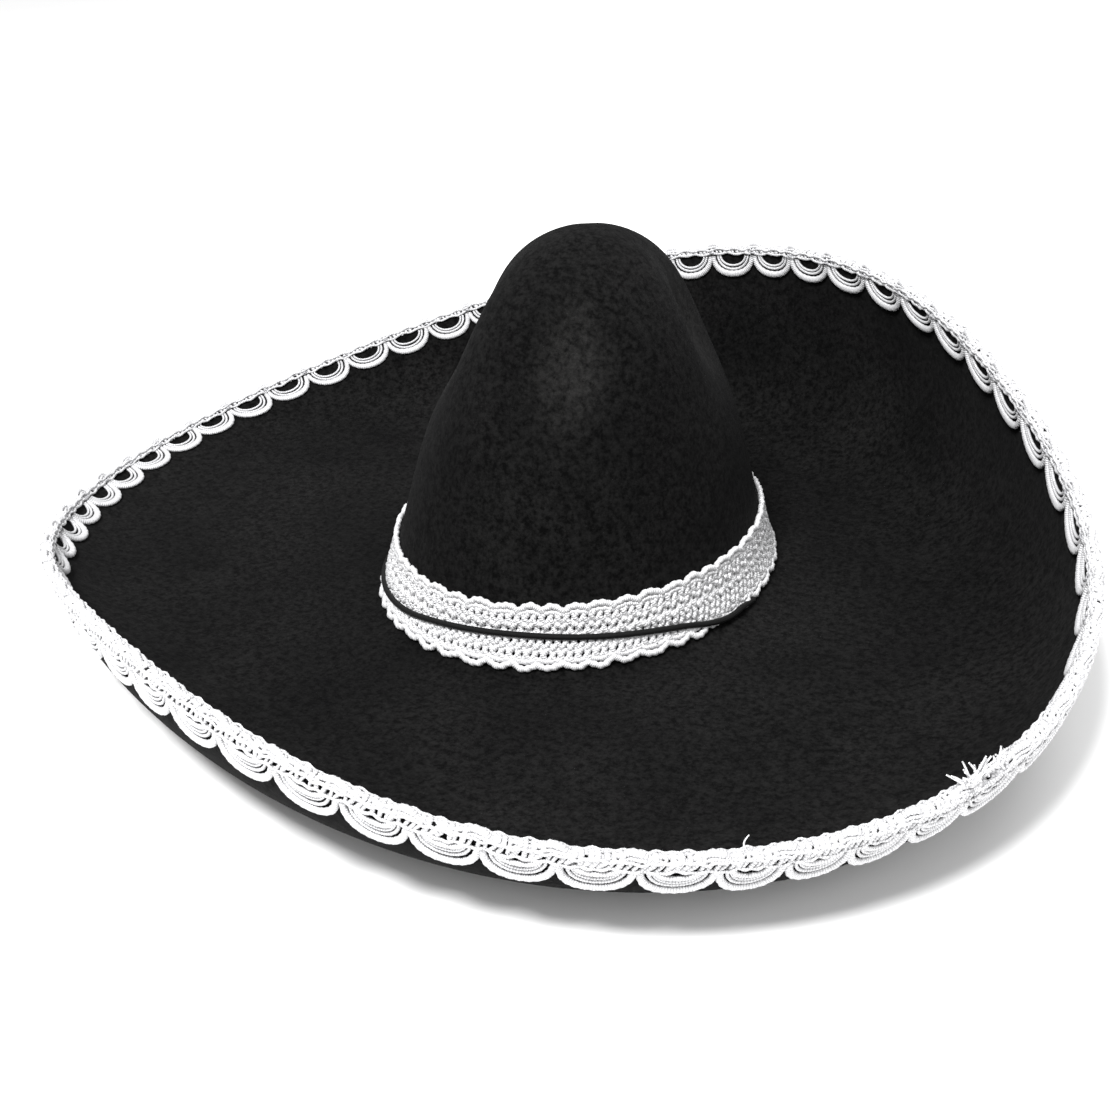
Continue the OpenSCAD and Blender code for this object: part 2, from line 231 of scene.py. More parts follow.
def outward(a):
    """Direction from the crown's foot to the fold, seen from above."""
    return unit(fold_point(a)[..., :2] - foot(a))


def edge_slope(a):
    """Slope of the brim at its edge, in degrees."""
    return LIP_SLOPE + LIP_SIDE_SLOPE * cosd(a - LIP_SIDE_TURN) + LIP_CURL_SLOPE * cosd(2 * (a - CURL_TURN))


def left_of(v):
    """Direction a quarter turn to the left of v, in the plane of the brim's section."""
    return np.stack([-v[..., 1], v[..., 0]], -1)


def brim_control(a):
    """Control points of the brim's upper face, as distance out and height."""
    span = np.linalg.norm(fold_point(a)[..., :2] - foot(a), axis=-1)
    slope = edge_slope(a)
    direction = np.stack([cosd(slope), sind(slope)], -1)
    end = np.stack([span, fold_h(a)], -1) - EDGE_INSET * direction + FELT_T / 2 * left_of(direction)
    start = np.stack([REST_RING_W + 0 * span, FELT_T + 0 * span], -1)
    handle = (end[..., 1] - FELT_T) / sind(slope)
    flat = start + np.stack([BRIM_FLAT_SHARE * (end[..., 0] - REST_RING_W), BRIM_FLAT_RISE + 0 * span], -1)
    return start, flat, end - handle[..., None] * direction, end


def bezier(c, u):
    """Point at share u of a cubic Bezier curve with control points c."""
    return (1 - u) ** 3 * c[0] + 3 * u * (1 - u) ** 2 * c[1] + 3 * u * u * (1 - u) * c[2] + u**3 * c[3]


def bezier_dir(c, u):
    """Direction of the same curve at share u."""
    return unit((1 - u) ** 2 * (c[1] - c[0]) + 2 * u * (1 - u) * (c[2] - c[1]) + u * u * (c[3] - c[2]))


def placed(a, p):
    """Place of a brim section point in space."""
    flat = foot(a) + p[..., :1] * outward(a)
    return np.concatenate([flat, p[..., 1:]], -1)


NEAR_EDGE = 0.01
FACE_STEPS = 4


def face_point(a, d, off=0.0):
    """Point d inward from the fold, lifted by off from the felt's upper face."""
    a, d, off = (np.array(v) for v in np.broadcast_arrays(*(np.asarray(v, float) for v in (a, d, off))))
    c = brim_control(a)
    inward = d - EDGE_INSET
    deep = np.maximum(inward, NEAR_EDGE)
    u = 1 - deep / (3 * np.linalg.norm(c[3] - c[2], axis=-1))
    for _ in range(FACE_STEPS):
        u = 1 - (1 - u) * deep / np.linalg.norm(bezier(c, u[..., None]) - c[3], axis=-1)
    u = u[..., None]
    on_curve = inward[..., None] > NEAR_EDGE
    way = np.where(on_curve, bezier_dir(c, u), unit(c[3] - c[2]))
    base = np.where(on_curve, bezier(c, u), c[3] - inward[..., None] * way)
    return placed(a, base + off[..., None] * left_of(way))


def face_normal(a, d):
    """Direction off the felt's upper face."""
    return unit(face_point(a, d, 1.0) - face_point(a, d, 0.0))


TABLE_STEPS = 1440
TABLE_ANGLES = np.linspace(0, 360, TABLE_STEPS + 1)
TABLE_LENGTHS = np.concatenate(
    [[0], np.cumsum(np.linalg.norm(np.diff(fold_point(TABLE_ANGLES), axis=0), axis=1))]
)
FOLD_TOTAL = TABLE_LENGTHS[-1]
PITCH = FOLD_TOTAL / SCALLOPS


def angle_along(s):
    """Angle of the point that lies s along the fold."""
    return np.interp(np.mod(s, FOLD_TOTAL), TABLE_LENGTHS, TABLE_ANGLES)


def crept(s):
    """Place along the fold after the braid's uneven stretch."""
    turns, shares = zip(*SCALLOP_CREEP)
    near = s + PITCH * np.interp(angle_along(s), turns, shares)
    return s + PITCH * np.interp(angle_along(near), turns, shares)


def scallop_angle(n):
    """Angle of the point n scallops from the first one."""
    return angle_along(crept(FIRST_SCALLOP + n * PITCH))


# ------------------------------------------------------------------ mesh tools


def make_object(name, points, quads, uvs, extra=()):
    """Smooth mesh object from points in mm and faces of four corners, and extra faces of any size."""
    faces = [tuple(q) for q in np.asarray(quads).tolist()] + [tuple(f) for f in extra]
    mesh = bpy.data.meshes.new(name)
    mesh.from_pydata((np.asarray(points) * MM).tolist(), [], faces)
    mesh.polygons.foreach_set("use_smooth", [True] * len(mesh.polygons))
    layer = mesh.uv_layers.new(name="strand")
    flat = np.zeros((len(mesh.loops), 2), np.float32)
    flat[: len(uvs)] = uvs
    layer.data.foreach_set("uv", flat.ravel())
    mesh.validate()
    mesh.update()
    thing = bpy.data.objects.new(name, mesh)
    bpy.context.scene.collection.objects.link(thing)
    return thing


class Strands:
    """Collects cords of round or flat section and makes them into one mesh."""

    def __init__(self):
        self.points = []
        self.quads = []
        self.uvs = []
        self.caps = []
        self.count = 0

    def add(
        self, path, ref, half_ref, half_side=None, sides=8, closed=False, lobe=0.0, lobes=3, lay=8.0
    ):
        """A cord along path. Its half size is half_ref along the direction ref and half_side across it.
        lobe gives a twisted surface of that share, with one turn of the twist in each lay mm."""
        path = np.asarray(path, float)
        n = len(path)
        half_side = half_ref if half_side is None else half_side
        if closed:
            way = np.roll(path, -1, 0) - np.roll(path, 1, 0)
        else:
            way = np.gradient(path, axis=0)
        way = unit(way)
        ref = np.broadcast_to(np.asarray(ref, float), path.shape)
        up = unit(ref - (ref * way).sum(-1, keepdims=True) * way)
        side = np.cross(way, up)
        steps = np.linalg.norm(np.diff(path, axis=0), axis=1)
        length = np.concatenate([[0], np.cumsum(steps)])
        turn = np.arange(sides) * 2 * np.pi / sides
        swell = 1 + lobe * np.cos(lobes * turn[None, :] - 2 * np.pi * length[:, None] / lay * lobes)
        hr = np.broadcast_to(np.asarray(half_ref, float), (n,))[:, None] * swell
        hs = np.broadcast_to(np.asarray(half_side, float), (n,))[:, None] * swell
        ring = (
            path[:, None]
            + (hr * np.cos(turn))[..., None] * up[:, None]
            + (hs * np.sin(turn))[..., None] * side[:, None]
        )
        self.points.append(ring.reshape(-1, 3))
        i, j = np.meshgrid(np.arange(n if closed else n - 1), np.arange(sides), indexing="ij")
        i2, j2 = (i + 1) % n, (j + 1) % sides
        quads = np.stack([i * sides + j, i2 * sides + j, i2 * sides + j2, i * sides + j2], -1)
        self.quads.append(quads.reshape(-1, 4) + self.count)
        after = length[i] + np.where(i + 1 < n, np.concatenate([steps, [steps[-1]]])[i], steps[-1])
        u = np.stack([length[i], after, after, length[i]], -1)
        v = np.stack([j, j, j + 1, j + 1], -1) / sides
        self.uvs.append(np.stack([u, v], -1).reshape(-1, 2))
        if not closed:
            self.caps.append([self.count + j for j in range(sides)][::-1])
            self.caps.append([self.count + (n - 1) * sides + j for j in range(sides)])
        self.count += n * sides

    def build(self, name):
        """One mesh object of all the cords."""
        points = np.concatenate(self.points)
        quads = np.concatenate(self.quads)
        return make_object(name, points, quads, np.concatenate(self.uvs), extra=self.caps)


def smooth_path(points, steps):
    """Points of a Catmull-Rom curve through the given ones."""
    p = np.asarray(points, float)
    n = len(p)
    out = []
    for k in range(n - 1):
        a, b, c, d = p[max(k - 1, 0)], p[k], p[k + 1], p[min(k + 2, n - 1)]
        for s in np.arange(steps) / steps:
            square = (2 * a - 5 * b + 4 * c - d) * s * s
            cube = (3 * b - a - 3 * c + d) * s**3
            out.append(0.5 * (2 * b + (c - a) * s + square + cube))
    out.append(p[-1])
    return np.array(out)


# ------------------------------------------------------------------ materials


FULL_TURN = 2 * math.pi
FELT_DARK = ((0.0008, 0.0008, 0.00085), (0.0014, 0.0014, 0.0014))
FELT_LIGHT = ((0.0045, 0.0045, 0.0045), (0.0088, 0.0087, 0.0086))
# painted highlight: lighter speckled colours for the dimples, standing in for the light they catch
FELT_DIMPLE_HIGHLIGHT = ((0.003, 0.003, 0.003), (0.022, 0.0215, 0.021))
SHEEN_COLOR = (0.5, 0.5, 0.51, 1.0)
RIBBON_DARK = (0.012, 0.012, 0.013)
RIBBON_LIGHT = (0.045, 0.044, 0.046)
RIB_MM = 1.1
FOIL_MM = 0.55


class Graph:
    """Short calls for building a material's nodes."""

    def __init__(self, name):
        self.material = bpy.data.materials.new(name)
        self.material.use_nodes = True
        self.tree = self.material.node_tree
        self.shader = self.tree.nodes["Principled BSDF"]
        self.coords = self.tree.nodes.new("ShaderNodeTexCoord")

    def node(self, kind, **values):
        """A new node with some of its settings."""
        made = self.tree.nodes.new(kind)
        for key, value in values.items():
            setattr(made, key, value)
        return made

    def put(self, value, socket):
        """Links a socket to another, or sets it to a plain value."""
        if isinstance(value, bpy.types.NodeSocket):
            self.tree.links.new(value, socket)
        else:
            socket.default_value = value

    def along(self):
        """The two numbers of the UV map: along a strand and round it."""
        split = self.node("ShaderNodeSeparateXYZ")
        self.put(self.coords.outputs["UV"], split.inputs[0])
        return split.outputs[0], split.outputs[1]

    def noise(self, size_mm, detail=4.0, rough=0.6):
        """Noise with features of about size_mm."""
        made = self.node("ShaderNodeTexNoise")
        made.inputs["Scale"].default_value = 1 / (size_mm * MM)
        made.inputs["Detail"].default_value = detail
        made.inputs["Roughness"].default_value = rough
        self.put(self.coords.outputs["Object"], made.inputs["Vector"])
        return made.outputs["Fac"]

    def math(self, operation, a, b=0.0):
        """One calculation with two values."""
        made = self.node("ShaderNodeMath", operation=operation)
        self.put(a, made.inputs[0])
        self.put(b, made.inputs[1])
        return made.outputs[0]

    def span(self, value, low, high, to_low=0.0, to_high=1.0):
        """The value's range from low to high, moved to the range from to_low to to_high."""
        made = self.node("ShaderNodeMapRange")
        limits = (("From Min", low), ("From Max", high), ("To Min", to_low), ("To Max", to_high))
        for key, number in limits:
            made.inputs[key].default_value = number
        self.put(value, made.inputs["Value"])
        return made.outputs["Result"]

    def mix(self, share, a, b):
        """Color a, with the given share of color b in it."""
        made = self.node("ShaderNodeMix", data_type="RGBA")
        self.put(share, made.inputs["Factor"])
        for value, socket in ((a, made.inputs["A"]), (b, made.inputs["B"])):
            self.put((*value, 1.0) if isinstance(value, tuple) and len(value) == 3 else value, socket)
        return made.outputs["Result"]

    def bump(self, height, distance_mm, strength=1.0, normal=None):
        """Fine relief, on top of another if a normal is given."""
        made = self.node("ShaderNodeBump")
        made.inputs["Distance"].default_value = distance_mm * MM
        made.inputs["Strength"].default_value = strength
        self.put(height, made.inputs["Height"])
        if normal is not None:
            self.put(normal, made.inputs["Normal"])
        return made.outputs["Normal"]

    def finish(self, color, rough, normal, **rest):
        """Joins everything to the shader and gives the material."""
        self.put(color, self.shader.inputs["Base Color"])
        self.put(rough, self.shader.inputs["Roughness"])
        self.put(normal, self.shader.inputs["Normal"])
        for key, value in rest.items():
            self.shader.inputs[key.replace("_", " ")].default_value = value
        return self.material


def felt_material():
    """Near-black pressed felt: matted fibres, cloudy patches, and a painted highlight in the dimples: a
    lighter colour standing in for the light they catch.
    The felt's UV map holds how deep the dimple is there, from 0 to 1."""
    g = Graph("felt")
    clouds = g.noise(75, 3, 0.55)
    matted = g.noise(3.4, 4, 0.62)
    grains = g.noise(1.6, 3, 0.6)
    fibres = g.noise(0.55, 3, 0.7)
    share = g.math("ADD", g.math("MULTIPLY", matted, 0.6), g.math("MULTIPLY", grains, 0.4))
    speckle = g.span(share, 0.4, 0.6)
    cloud = g.span(clouds, 0.32, 0.68)
    dark = g.mix(cloud, *FELT_DARK)
    light = g.mix(cloud, *FELT_LIGHT)
    color = g.mix(speckle, dark, light)
    # painted highlight: by their depth, held in the UV map, the dimples turn to a lighter speckled colour
    pressed, _ = g.along()
    dimple_highlight = g.mix(g.span(share, 0.34, 0.66), *FELT_DIMPLE_HIGHLIGHT)
    color = g.mix(g.span(pressed, 0.25, 1.0, 0.0, 0.75), color, dimple_highlight)
    normal = g.bump(fibres, 0.25, 0.6)
    normal = g.bump(share, 0.9, 0.7, normal)
    normal = g.bump(g.noise(26, 2, 0.5), 2.5, 0.4, normal)
    rough = g.span(fibres, 0.3, 0.7, 0.86, 1.0)
    return g.finish(
        color, rough, normal,
        Specular_IOR_Level=0.03, Sheen_Weight=0.02, Sheen_Roughness=0.6, Sheen_Tint=SHEEN_COLOR,
    )


def braid_material(name, light, dark, threads_mm=1.1, twist=1.0):
    """Silver-white metallic thread: a wrapped yarn whose turns run round the strand."""
    g = Graph(name)
    length, round_share = g.along()
    turns = g.math("ADD", g.math("DIVIDE", length, threads_mm), g.math("MULTIPLY", round_share, twist))
    wrap = g.math("SINE", g.math("MULTIPLY", turns, FULL_TURN))
    wrap = g.span(wrap, -1.0, 1.0)
    foil = g.node("ShaderNodeTexVoronoi")
    foil.inputs["Scale"].default_value = 1 / (FOIL_MM * MM)
    g.put(g.coords.outputs["Object"], foil.inputs["Vector"])
    glints = g.span(foil.outputs["Distance"], 0.15, 0.75)
    patch = g.noise(6, 3, 0.6)
    # painted shade: the colour darkens towards the dark tone in the grooves between the yarn's turns, the
    # low parts of the same relief
    color = g.mix(g.math("MULTIPLY", g.span(wrap, 0.0, 0.45, 1.0, 0.0), 0.55), light, dark)
    color = g.mix(g.span(patch, 0.55, 0.85, 0.0, 0.35), color, dark)
    rough = g.span(glints, 0.0, 1.0, 0.22, 0.5)
    normal = g.bump(wrap, 0.22, 0.8)
    normal = g.bump(glints, 0.12, 0.5, normal)
    return g.finish(color, rough, normal, Metallic=0.15, Specular_IOR_Level=0.6, Sheen_Weight=0.15)


def cord_material(name, light, dark, threads_mm=0.7, twist=3.0):
    """Cord or thread with a fine plaited surface."""
    g = Graph(name)
    length, round_share = g.along()
    threads = g.math("DIVIDE", length, threads_mm)
    lean = g.math("MULTIPLY", round_share, twist)
    one = g.math("SINE", g.math("MULTIPLY", g.math("ADD", threads, lean), FULL_TURN))
    two = g.math("SINE", g.math("MULTIPLY", g.math("SUBTRACT", threads, lean), FULL_TURN))
    plait = g.span(g.math("MULTIPLY", one, two), -1.0, 1.0)
    fuzz = g.noise(0.5, 2, 0.6)
    # painted shade: the colour darkens in the dips between the plaited threads, the low parts of the same
    # relief
    color = g.mix(g.math("MULTIPLY", plait, g.span(fuzz, 0.3, 0.7, 0.5, 1.0)), dark, light)
    normal = g.bump(plait, 0.15, 0.8)
    normal = g.bump(fuzz, 0.08, 0.4, normal)
    rough = g.span(fuzz, 0.3, 0.7, 0.45, 0.7)
    return g.finish(color, rough, normal, Specular_IOR_Level=0.12, Sheen_Weight=0.02)


def ribbon_material():
    """Black grosgrain: fine upright ribs."""
    g = Graph("sweatband")
    length, _ = g.along()
    ribs = g.span(g.math("SINE", g.math("MULTIPLY", length, FULL_TURN / RIB_MM)), -1.0, 1.0)
    threads = g.noise(0.8, 3, 0.6)
    wear = g.noise(30, 3, 0.5)
    # painted light and shade: rib tops lighter and the grooves between ribs darker, following the ribs'
    # relief
    lit = g.math("MULTIPLY", ribs, g.span(wear, 0.3, 0.7, 0.5, 1.0))
    color = g.mix(lit, RIBBON_DARK, RIBBON_LIGHT)
    normal = g.bump(ribs, 0.25, 0.8)
    normal = g.bump(threads, 0.1, 0.5, normal)
    rough = g.span(threads, 0.3, 0.7, 0.45, 0.7)
    return g.finish(color, rough, normal, Specular_IOR_Level=0.4, Sheen_Weight=0.1)


def floor_material():
    """Plain pale matt floor."""
    g = Graph("floor")
    soft = g.noise(180, 3, 0.5)
    color = g.mix(soft, (0.93, 0.93, 0.93), (0.96, 0.96, 0.96))
    rough = g.span(g.noise(9, 3, 0.6), 0.3, 0.7, 0.6, 0.75)
    normal = g.bump(g.noise(3, 2, 0.5), 0.05, 0.2)
    return g.finish(color, rough, normal, Specular_IOR_Level=0.1)


FELT = felt_material()
BRAID = braid_material("edge_braid", (0.6, 0.6, 0.61), (0.16, 0.16, 0.17))
YARN = braid_material("braid_yarn", (0.85, 0.85, 0.86), (0.5, 0.5, 0.52), threads_mm=0.6)
THREAD = cord_material("thread", (0.62, 0.62, 0.64), (0.35, 0.35, 0.37), threads_mm=0.5, twist=1.0)
BAND = braid_material("crown_band", (0.72, 0.72, 0.73), (0.22, 0.22, 0.23), threads_mm=0.9)
ELASTIC = cord_material("elastic", (0.006, 0.006, 0.006), (0.0015, 0.0015, 0.0015))
RIBBON = ribbon_material()
BLACK_THREAD = cord_material(
    "black_thread", (0.04, 0.04, 0.04), (0.01, 0.01, 0.01), threads_mm=0.5, twist=1.0
)


def settle(thing, material, slot, *nodes):
    """Finishes a piece: its material, its place on the root body and the nodes it stands for. The slot is
    not used.
    """
    thing.data.materials.clear()
    thing.data.materials.append(material)
    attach(thing, "root")
    if nodes:
        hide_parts(*nodes)
    return thing


# ------------------------------------------------------------------ felt

FELT_COLUMNS = 320
CROWN_ROWS = 44
FILLET_ROWS = 8
BRIM_ROWS = 44
FILLET_MARGIN = 1
RING_MARGIN = 3
DIMPLE_FADE = 8
TOP_RING_SHARE = 0.6
EDGE_BULGE = 0.5


def felt_rows():
    """Upper face of the felt, as rings of points from the crown's top to the brim's edge."""
    a = np.arange(FELT_COLUMNS) * 360 / FELT_COLUMNS
    fillet_t = FOOT_FILLET / CROWN_RISE
    rows = []
    for i in range(1, CROWN_ROWS + 1):
        q = (i - TOP_RING_SHARE) / (CROWN_ROWS - TOP_RING_SHARE)
        rows.append(crown_point(a, 1 - q * q * (1 - fillet_t)))
    level = np.full(FELT_COLUMNS, FELT_T)
    corner = placed(a, np.stack([0 * level, level], -1))
    top = crown_point(a, fillet_t)
    end = placed(a, np.stack([0 * level + FOOT_FILLET + FILLET_MARGIN, level], -1))
    for i in range(1, FILLET_ROWS + 1):
        s = i / FILLET_ROWS
        rows.append((1 - s) ** 2 * top + 2 * s * (1 - s) * corner + s * s * end)
    rows.append(placed(a, np.stack([0 * level + REST_RING_W - RING_MARGIN, level], -1)))
    c = brim_control(a)
    for i in range(BRIM_ROWS + 1):
        rows.append(placed(a, bezier(c, i / BRIM_ROWS)))
    return np.array(rows)


def make_felt():
    """Crown and brim as one shell, closed round the brim's edge."""
    upper = felt_rows()
    a = np.arange(FELT_COLUMNS) * 360 / FELT_COLUMNS
    shares = (upper[:CROWN_ROWS, :1, 2] - FELT_T) / CROWN_RISE
    dents = dent(a[None], shares) * np.clip((1 - shares) * DIMPLE_FADE, 0, 1)
    round_way = np.roll(upper, -1, 1) - np.roll(upper, 1, 1)
    down = np.gradient(upper, axis=0)
    normal = unit(np.cross(round_way, down))
    lower = upper - FELT_T * normal
    edge = upper[-1] - FELT_T / 2 * normal[-1] + EDGE_BULGE * unit(down[-1])
    rows = np.concatenate([upper, edge[None], lower[::-1]])
    n, m = rows.shape[:2]
    i, j = np.meshgrid(np.arange(n - 1), np.arange(m), indexing="ij")
    k = (j + 1) % m
    quads = np.stack([i * m + j, (i + 1) * m + j, (i + 1) * m + k, i * m + k], -1).reshape(-1, 4)
    points = rows.reshape(-1, 3)
    top = points[:m].mean(0)
    under = points[-m:].mean(0)
    points = np.concatenate([points, [top, under]])
    first, last = len(points) - 2, len(points) - 1
    extra = [(first, jj, (jj + 1) % m) for jj in range(m)]
    extra += [(last, (n - 1) * m + (jj + 1) % m, (n - 1) * m + jj) for jj in range(m)]
    # dimple depth at each point, held in the UV map as the mask of the felt's painted highlight
    pressed = np.concatenate([dents, np.zeros((n - len(dents), m))])
    corners = pressed[np.stack([i, i + 1, i + 1, i], -1), np.stack([j, j, k, k], -1)].reshape(-1)
    thing = make_object("felt_shell", points, quads, np.stack([corners, 0 * corners], -1), extra=extra)
    settle(thing, FELT, "felt", "felt_body")


make_felt()

# ------------------------------------------------------------------ edge braid

BRAID_SEED = 7
rng = random.Random(BRAID_SEED)
UPPER = 1.0
LOWER = -1.0
# one cord of a scallop: narrower and shallower say how far it stays inside the scallop's outline, start how
# far from the fold it begins, and points how many its path has
ScallopCord = namedtuple(
    "ScallopCord", "narrower start shallower skew_share points stand half_height half_width"
)
OUTER_CORD = ScallopCord(1.0, 5.2, 1.9, 1.0, 36, 1.3, 1.2, 1.25)
OUTER_SWELL = 0.6
INNER_CORDS = (
    ScallopCord(3.9, 5.0, 4.9, 0.8, 26, 0.9, 0.75, 0.72),
    ScallopCord(5.6, 5.0, 6.9, 0.6, 22, 0.9, 0.7, 0.65),
)
LOWER_FILLING = ScallopCord(6.4, 4.8, 9.4, 0.4, 18, 1.2, 0.85, 1.15)
SCALLOP_SKEW = 1.3


def on_face(side, height):
    """Offset from the felt's upper face of a point that stands height off one face."""
    return height if side > 0 else -FELT_T - height


def arc(k, cord, depth, skew, side, fullness=0.95):
    """Path of one cord of scallop k, down to depth, and the direction off the face along it."""
    half_x = PITCH / 2 - cord.narrower
    turn = np.linspace(0, np.pi, cord.points)
    x = -half_x * np.sign(np.cos(turn)) * np.abs(np.cos(turn)) ** fullness + skew * np.sin(turn)
    d = cord.start + (depth - cord.start) * np.abs(np.sin(turn)) ** (fullness + 0.05)
    a = scallop_angle(k + x / PITCH)
    rise = cord.stand * (0.6 + 0.4 * np.sin(turn))
    return face_point(a, d, on_face(side, rise)), side * face_normal(a, d)


def make_scallops(side, name, node):
    """All the scallops on one face: a thick outer cord and thinner ones inside it."""
    strands = Strands()
    inner_cords = INNER_CORDS if side == UPPER else (*INNER_CORDS, LOWER_FILLING)
    swell = OUTER_SWELL * np.sin(np.linspace(0, np.pi, OUTER_CORD.points))
    for count in range(SCALLOPS):
        k = count + rng.uniform(-0.02, 0.02)
        depth = SCALLOP_DEPTH + rng.uniform(-0.8, 0.5)
        skew = SCALLOP_SKEW + rng.uniform(-0.8, 0.8)
        path, ref = arc(k, OUTER_CORD, depth - OUTER_CORD.shallower, skew, side, fullness=0.9)
        width = OUTER_CORD.half_width + swell
        strands.add(path, ref, OUTER_CORD.half_height, width, sides=12, lobe=0.09, lobes=3, lay=10.0)
        for cord in inner_cords:
            end = depth - cord.shallower + rng.uniform(-0.3, 0.3)
            path, ref = arc(k, cord, end, skew * cord.skew_share, side)
            strands.add(path, ref, cord.half_height, cord.half_width, sides=8, lobe=0.08, lobes=2, lay=6.0)
    settle(strands.build(name), BRAID, "edge_braid", node)


make_scallops(UPPER, "edge_braid_upper_arcs", "edge_braid_upper_scallops")
make_scallops(LOWER, "edge_braid_lower_arcs", "edge_braid_lower_scallops")

RUNGS_PER_SCALLOP = 10
RUNG_HALF_HEIGHT = 0.65
RUNG_MIDDLE = 2.5
RUNG_REACH = 3.0
RUNG_TAIL = 3.8
CUSP_SHARE = 0.12
THIN_RUNGS = 0.3
RUNNING_CORD_STEP = 1.15
RUNNING_CORD_HALF_HEIGHT = 0.5
RUNNING_CORD_STAND = 1.3
# a rung's path from the upper face round the edge to the lower one, as distance inward and height
RUNG_WRAP = np.array([
    (4.5, 0.4), (3.7, 0.7), (2.6, 0.75), (1.6, 0.6), (0.95, 0.0), (0.75, -0.8), (0.7, -1.5),
    (0.75, -2.2), (0.95, -3.0), (1.6, -3.6), (2.9, -3.8), (4.2, -3.75), (5.4, -3.4),
])
# running cords of each face, as distance inward and half width
UPPER_RUNNING_CORDS = ((1.6, 0.65), (4.0, 0.75))
LOWER_RUNNING_CORDS = ((1.2, 0.6), (5.1, 0.8))


def make_header():
    """Header of the braid: loops of cord over the felt's edge, held by two running cords on each face."""
    strands = Strands()
    count = SCALLOPS * RUNGS_PER_SCALLOP
    gap = FOLD_TOTAL / count
    for k in range(count):
        s = FIRST_SCALLOP + (k + rng.uniform(-0.16, 0.16)) * gap
        lean = rng.uniform(-0.3, 0.5) * gap + 0.5 * gap
        deeper = rng.uniform(-0.3, 0.4)
        share = (k / RUNGS_PER_SCALLOP - 0.5) % 1.0
        thin = min(share, 1 - share) < CUSP_SHARE or rng.random() < THIN_RUNGS
        width = rng.uniform(0.24, 0.3) if thin else rng.uniform(0.33, 0.43)
        inward, height = RUNG_WRAP.T
        x = lean * (inward - RUNG_MIDDLE) / RUNG_REACH
        d = inward + np.where(inward > RUNG_TAIL, deeper, 0)
        path = smooth_path(face_point(angle_along(crept(s + x)), d, height), 2)[1:-1]
        ahead = fold_point(angle_along(crept(s + 0.5)))
        behind = fold_point(angle_along(crept(s - 0.5)))
        strands.add(path, unit(ahead - behind), width * gap, RUNG_HALF_HEIGHT, sides=7, lobe=0.1, lay=4.0)
    settle(strands.build("edge_braid_rungs"), BRAID, "edge_braid", "edge_braid_header")

    running = Strands()
    s = np.arange(0, FOLD_TOTAL, RUNNING_CORD_STEP)
    a = angle_along(crept(s))
    phase = 2 * np.pi * s / (FOLD_TOTAL / (SCALLOPS * RUNGS_PER_SCALLOP / 2))
    for side, lines in ((UPPER, UPPER_RUNNING_CORDS), (LOWER, LOWER_RUNNING_CORDS)):
        for d, half_width in lines:
            wander = d + 0.45 * np.sin(phase * 0.5 + d) + 0.25 * np.sin(phase * 0.23)
            height = RUNNING_CORD_STAND + 0.35 * np.sin(phase + d)
            path = face_point(a, wander, on_face(side, height))
            ref = side * face_normal(a, wander)
            running.add(path, ref, RUNNING_CORD_HALF_HEIGHT, half_width, sides=6, closed=True)
    settle(running.build("edge_braid_running_cords"), BRAID, "edge_braid")


make_header()


FOLD_LOOP_STEP = 0.9
BIG_LOOP_SHARE = 0.14
LOOP_SINK = 1.7
LOOP_RISE = 2.5


def make_fold_loops():
    """Loops along the fold: a large one at each meeting of two scallops, and small ones between."""
    strands = Strands()
    s = np.arange(0, FOLD_TOTAL, FOLD_LOOP_STEP)
    place = (s - FIRST_SCALLOP) / PITCH
    share = place - np.floor(place)
    big = np.exp(-(((share - 0.5) / BIG_LOOP_SHARE) ** 4))
    small = 0.5 + 0.5 * np.cos(2 * np.pi * (share - 0.5) * 4.0)
    jitter = 0.3 * np.sin(place * 5.1) + 0.25 * np.sin(place * 13.7 + 1)
    stand = -LOOP_SINK + LOOP_RISE * big + (1 - big) * 0.8 * small + jitter * 0.5
    a = angle_along(crept(s))
    tip = face_point(a, -stand, -FELT_T / 2 + 0.5 * np.sin(2 * np.pi * place * 2))
    across = face_normal(a, 0 * a)
    across_half = 1.1 + 0.45 * big
    strands.add(
        tip, across, across_half, 0.85 + 0.4 * big, sides=10, closed=True, lobe=0.1, lobes=3, lay=7.0
    )
    for off in (0.3, -FELT_T - 0.3):
        line = face_point(a, 0.9 - 0.6 * stand, off + 0.35 * np.sin(2 * np.pi * place * 3 + off))
        strands.add(line, across, 0.65, 0.75, sides=8, closed=True, lobe=0.1, lobes=2, lay=5.0)
    settle(strands.build("edge_braid_fold_loops"), BRAID, "edge_braid", "edge_braid_picots")


make_fold_loops()


FRAYED_YARNS = 46
TUFT_YARNS = 28
YARN_R = 0.6
TIP_THINNING = 0.4
LOOSE_THREAD_TURN = 138.5
LOOSE_THREAD_LENGTH = 8.5
LOOSE_THREAD_R = 0.4


def edge_way(a, ahead):
    """Directions out past the edge at angle a, and along it to the angle ahead."""
    up = unit(face_point(a, -5.0, -FELT_T / 2) - face_point(a, 0.0, -FELT_T / 2))
    return up, unit(fold_point(ahead) - fold_point(a))


